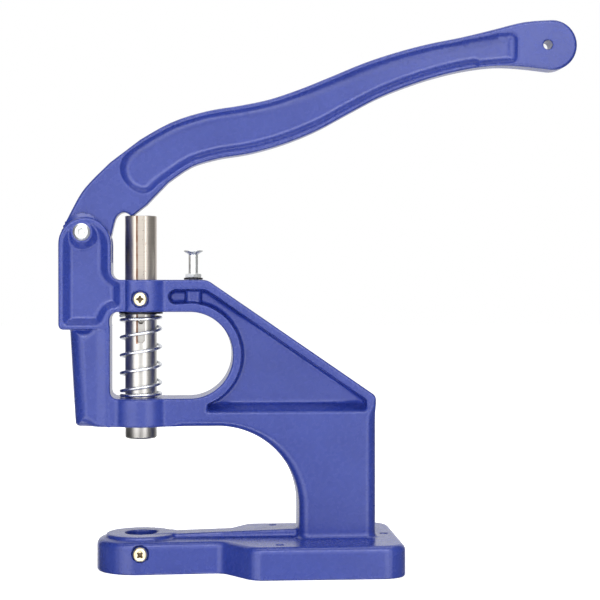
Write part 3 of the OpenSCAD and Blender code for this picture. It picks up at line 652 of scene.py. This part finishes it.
def blue_paint(name, chipped):
    """Satin paint on a cast skin, with one chip at the lower edge of the base's front."""
    m = Paint(name)
    tone = m.mix(m.ramp(m.noise(35, 3, 0.55), 0.35, 0.65), BLUE_DEEP, BLUE)
    if chipped:
        spot = m.near((57.2, -26.5, 3.2), 3.0, (2.6, 1, 1))
        tone = m.mix(m.math("MULTIPLY", spot, m.ramp(m.noise(900, 2), 0.3, 0.45)), tone, CHIP)
    skin = m.bump((m.noise(120, 3, 0.5), 0.07, 0.0002), (m.noise(1500, 2, 0.6), 0.01, 0.00005))
    return m.finish(Base_Color=tone, Roughness=m.ramp(m.noise(220, 2), 0.3, 0.7, 0.24, 0.30),
                    Specular_IOR_Level=0.68, Normal=skin)


def ground_steel():
    """Ground bar with fine lines round it, warmer towards its top, with rust in and beside the keyway and
    painted shade at its lower end.
    """
    m = Paint("ground_steel")
    lines = m.noise(90, 4, 0.7, (0.4, 0.4, 26))
    axes = m.add("SeparateXYZ", {0: m.place}).outputs
    x, y, z = axes["X"], axes["Y"], axes["Z"]
    high = m.ramp(z, 155 * MM, 185 * MM)
    dark = m.mix(high, (0.545, 0.53, 0.505), (0.555, 0.505, 0.45))
    light = m.mix(high, (0.62, 0.605, 0.58), (0.635, 0.575, 0.51))
    tone = m.mix(m.ramp(lines, 0.3, 0.7), dark, light)
    front = m.math("LESS_THAN", y, -6.9 * MM)
    key = m.math("MULTIPLY", front, m.ramp(m.from_line(x, -2.3), 0.9 * MM, 0.3 * MM))
    key = m.math("MULTIPLY", key, m.math("GREATER_THAN", z, 142 * MM))
    rust = m.ramp(m.noise(130, 3, 0.6), 0.25, 0.6, 0.5, 0.95)
    tone = m.mix(m.math("MULTIPLY", key, rust), tone, RUST)
    speck = m.math("MULTIPLY", m.ramp(m.noise(900, 3, 0.7), 0.60, 0.68),
                   m.ramp(m.from_line(x, 2.2), 2.4 * MM, 0.6 * MM))
    speck = m.math("MULTIPLY", speck, m.ramp(z, 150 * MM, 190 * MM))
    tone = m.mix(m.math("MULTIPLY", speck, 0.8), tone, RUST_SPECK)
    # Painted shade: the lower end is darkened towards its tip
    tone = m.mix(m.ramp(z, 84 * MM, 93 * MM, 0.8, 0.0), tone, RAM_END_SHADE)
    return m.finish(Base_Color=tone, Metallic=1.0, Roughness=m.ramp(lines, 0.3, 0.7, 0.30, 0.36),
                    Normal=m.bump((lines, 0.03, 0.00001)))


def plated(name, color, deep, rough, recesses=()):
    """Plated steel, with rust brown and painted shade in the cross recesses at the points given in millimetres.
    """
    m = Paint(name)
    tone = m.mix(m.ramp(m.noise(260, 3, 0.6), 0.35, 0.7), deep, color)
    for point in recesses:
        # Rust brown and painted shade in each cross recess
        tone = m.mix(m.near(point, 2.7), tone, RECESS_RUST_AND_SHADE)
    return m.finish(Base_Color=tone, Metallic=1.0,
                    Roughness=m.ramp(m.noise(500, 2), 0.3, 0.7, rough, rough + 0.1),
                    Normal=m.bump((m.noise(700, 2, 0.5), 0.04, 0.00002)))


MATERIALS = {
    "blue_paint": blue_paint("blue_paint", True),
    "blue_paint_lever": blue_paint("blue_paint_lever", False),
    "ground_steel": ground_steel(),
    "zinc_white": plated("zinc_white", (0.84, 0.86, 0.85), (0.76, 0.78, 0.77), 0.34),
    "zinc_yellow": plated("zinc_yellow", (0.80, 0.74, 0.55), (0.68, 0.59, 0.37), 0.26,
                          ((0, -22.4, GUIDE_Z), (0, -27.6, DIE_SCREW_Z))),
    "zinc_spring": plated("zinc_spring", (0.82, 0.84, 0.86), (0.70, 0.72, 0.76), 0.24),
    "black_oxide": plated("black_oxide", (0.040, 0.040, 0.050), (0.022, 0.022, 0.030), 0.32),
}

# Each piece: name, field, lowest and highest corner, grid step, body, nodes and slot
CAST_STEP = 1.14
LEVER_STEP = 0.8
PIECES = (
    ("press_frame", frame_field, (-53, -53, -2), (166, 53, 223), CAST_STEP, "frame",
     "base tongue column lower_arm strut upper_arm pivot_lugs", "blue_paint"),
    ("press_lever", lever_field, (-51, -10, 196), (281, 10, 351), LEVER_STEP, "lever",
     "lever", "blue_paint_lever"),
    ("press_ram", ram_field, (-11, -11, 81), (11, 11, 224), (0.35, 0.35, 0.7), "ram",
     "ram", "ground_steel"),
    ("snap_ring_part", snap_ring_field, (-15, -15, 160), (15, 15, 162.5), 0.25, "ram",
     "snap_ring", "black_oxide"),
    ("pivot_bolt_part", pivot_bolt_field, (-43, -22.5, 205), (-29, 29, 218), 0.3, "frame",
     "pivot_bolt", "zinc_white"),
    ("pivot_washer_part", pivot_washer_field, (-45, 17.5, 203), (-27, 21, 220), 0.3, "frame",
     "pivot_washer", "zinc_white"),
    ("pivot_nut_part", pivot_nut_field, (-45, 19, 203), (-27, 28, 220), 0.3, "frame",
     "pivot_nut", "zinc_white"),
    ("guide_screw_part", guide_screw_field, (-5.5, -26, 164.5), (5.5, -7, 175.5), 0.2, "frame",
     "guide_screw", "zinc_yellow"),
    ("die_screw_part", die_screw_field, (-5.5, -31.5, 7.5), (5.5, -9.5, 18.5), 0.2, "die_screw",
     "die_screw", "zinc_yellow"),
    ("stop_screw_part", stop_screw_field, (26, -7, 173), (40, 7, 202), 0.25, "stop_screw",
     "stop_screw", "zinc_white"),
    ("stop_nut_part", stop_nut_field, (26, -7, 183), (40, 7, 187), 0.25, "frame",
     "stop_nut", "zinc_white"),
    ("stop_washer_part", stop_washer_field, (26, -7, 181.8), (40, 7, 184), 0.25, "frame",
     "stop_washer", "black_oxide"),
)
for name, field, low, high, step, body, nodes, slot in PIECES:
    place(solid(name, field, low, high, step), body, nodes, MATERIALS[slot])

spring = spring_mesh("return_spring_wire")
place(spring, "frame", "return_spring", MATERIALS["zinc_spring"])
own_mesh(spring)


def flat_piece(name, corners, material):
    """One face of the stage, which isn't part of the press."""
    mesh = bpy.data.meshes.new(name)
    mesh.from_pydata(corners, [], [(0, 1, 2, 3)])
    mesh.materials.append(material)
    piece = bpy.data.objects.new(name, mesh)
    bpy.context.scene.collection.objects.link(piece)
    return piece


def floor_finish():
    """Pale floor that the camera sees as plain white, a little less of it near the press for its shadow."""
    material = bpy.data.materials.new("floor")
    n = Nodes(material)
    matt = n.add("BsdfDiffuse", {"Color": (0.9, 0.9, 0.9, 1)})
    far = n.add("VectorMath", {0: n.add("TexCoord").outputs["Object"]}, operation="LENGTH")
    level = n.add("MapRange", {"From Min": 0.3, "From Max": 0.9, "To Min": 0.9, "To Max": 1.0,
                               "Value": far.outputs["Value"]})
    white = n.add("Emission", {"Strength": level.outputs["Result"]})
    dark = n.add("Emission", {"Strength": 0})
    shown = n.add("MixShader", {0: n.is_seen(), 1: dark.outputs[0], 2: white.outputs[0]})
    lit = n.add("AddShader", {0: matt.outputs[0], 1: shown.outputs[0]})
    # Mirror-like surfaces see the room mirrored in it, as on a sheet of gloss acrylic
    gloss = n.add("BsdfGlossy", {"Color": (0.95, 0.95, 0.95, 1), "Roughness": 0.1})
    mirrored = n.add("LightPath").outputs["Is Glossy Ray"]
    sheet = n.add("MixShader", {0: mirrored, 1: lit.outputs[0], 2: gloss.outputs[0]})
    n.add("OutputMaterial", {"Surface": sheet.outputs[0]})
    return material


def white_room():
    """World that is white where it is seen and gives a little light from all sides."""
    world = bpy.data.worlds.new("studio")
    bpy.context.scene.world = world
    n = Nodes(world)
    light = n.add("Background", {"Color": (1, 1, 1, 1), "Strength": 0.12})
    seen = n.add("Background", {"Color": (1, 1, 1, 1)})
    pick = n.add("MixShader", {0: n.is_seen(), 1: light.outputs[0], 2: seen.outputs[0]})
    n.add("OutputWorld", {"Surface": pick.outputs[0]})


FLOOR = 6.0  # half its side in metres
flat_piece("floor", [(x * FLOOR, y * FLOOR, 0) for x, y in ((-1, -1), (1, -1), (1, 1), (-1, 1))], floor_finish())
white_room()


def card(name, corners, level):
    """A flat grey card. Only mirror-like surfaces show it."""
    glow = bpy.data.materials.new(name)
    n = Nodes(glow)
    n.add("OutputMaterial", {"Surface": n.add("Emission", {"Strength": level}).outputs[0]})
    piece = flat_piece(name, corners, glow)
    piece.visible_camera = piece.visible_diffuse = piece.visible_shadow = piece.visible_transmission = False


def upright(a, b, high):
    """Corners of an upright card from a to b on the floor plan."""
    return [(*a, 0.0), (*b, 0.0), (*b, high), (*a, high)]


card("card_right", upright((0.61, -0.50), (0.58, 0.48), 0.9), 0.25)
card("card_left", upright((-0.65, -0.34), (-0.45, 0.54), 0.9), 0.10)
card("card_top", [(-0.4, -0.4, 0.8), (0.6, -0.4, 0.8), (0.6, -0.1, 0.8), (-0.4, -0.1, 0.8)], 0.08)


def lamp(name, place_at, aim, size, power, hidden_from=""):
    """An area lamp, which one kind of ray, glossy or diffuse, may miss."""
    light = bpy.data.lights.new(name, "AREA")
    light.shape = "RECTANGLE"
    light.size, light.size_y = size
    light.energy = power
    o = bpy.data.objects.new(name, light)
    bpy.context.scene.collection.objects.link(o)
    o.location = place_at
    way = np.array(aim) - np.array(place_at)
    o.rotation_euler = (math.acos(-way[2] / np.linalg.norm(way)), 0, math.atan2(way[1], way[0]) - math.pi / 2)
    if hidden_from:
        setattr(o, "visible_" + hidden_from, False)


CENTRE = (0.08, 0.0, 0.16)
RAM_AIM = (0.0, 0.0, 0.2)
lamp("key", (-0.05, -1.2, 0.25), CENTRE, (0.8, 0.6), 9.3, "glossy")
lamp("top", (0.3, -0.2, 1.5), (0.3, 0.0, 0.16), (1.6, 0.9), 10.5)
lamp("back", (0.1, 1.3, 0.5), CENTRE, (0.9, 0.6), 6.0, "glossy")
lamp("softbox_left", (-0.58, -0.93, 0.46), RAM_AIM, (0.72, 0.9), 3.2, "diffuse")
lamp("softbox_right", (0.52, -0.98, 0.46), RAM_AIM, (0.50, 0.9), 2.6, "diffuse")
lamp("strip_top", (0.1, -0.9, 0.95), CENTRE, (1.4, 0.22), 5.0, "diffuse")

# The camera stands where the photo's was, slightly turned to the right
camera = bpy.data.cameras.new("camera")
camera.lens = 92.8
camera.sensor_width = 36
eye = bpy.data.objects.new("camera", camera)
eye.location = (0.02718, -0.98165, 0.17783)
eye.rotation_euler = (math.radians(89.5), 0, math.radians(-4.284))
bpy.context.scene.collection.objects.link(eye)
bpy.context.scene.camera = eye
bpy.context.scene.view_settings.view_transform = "Standard"
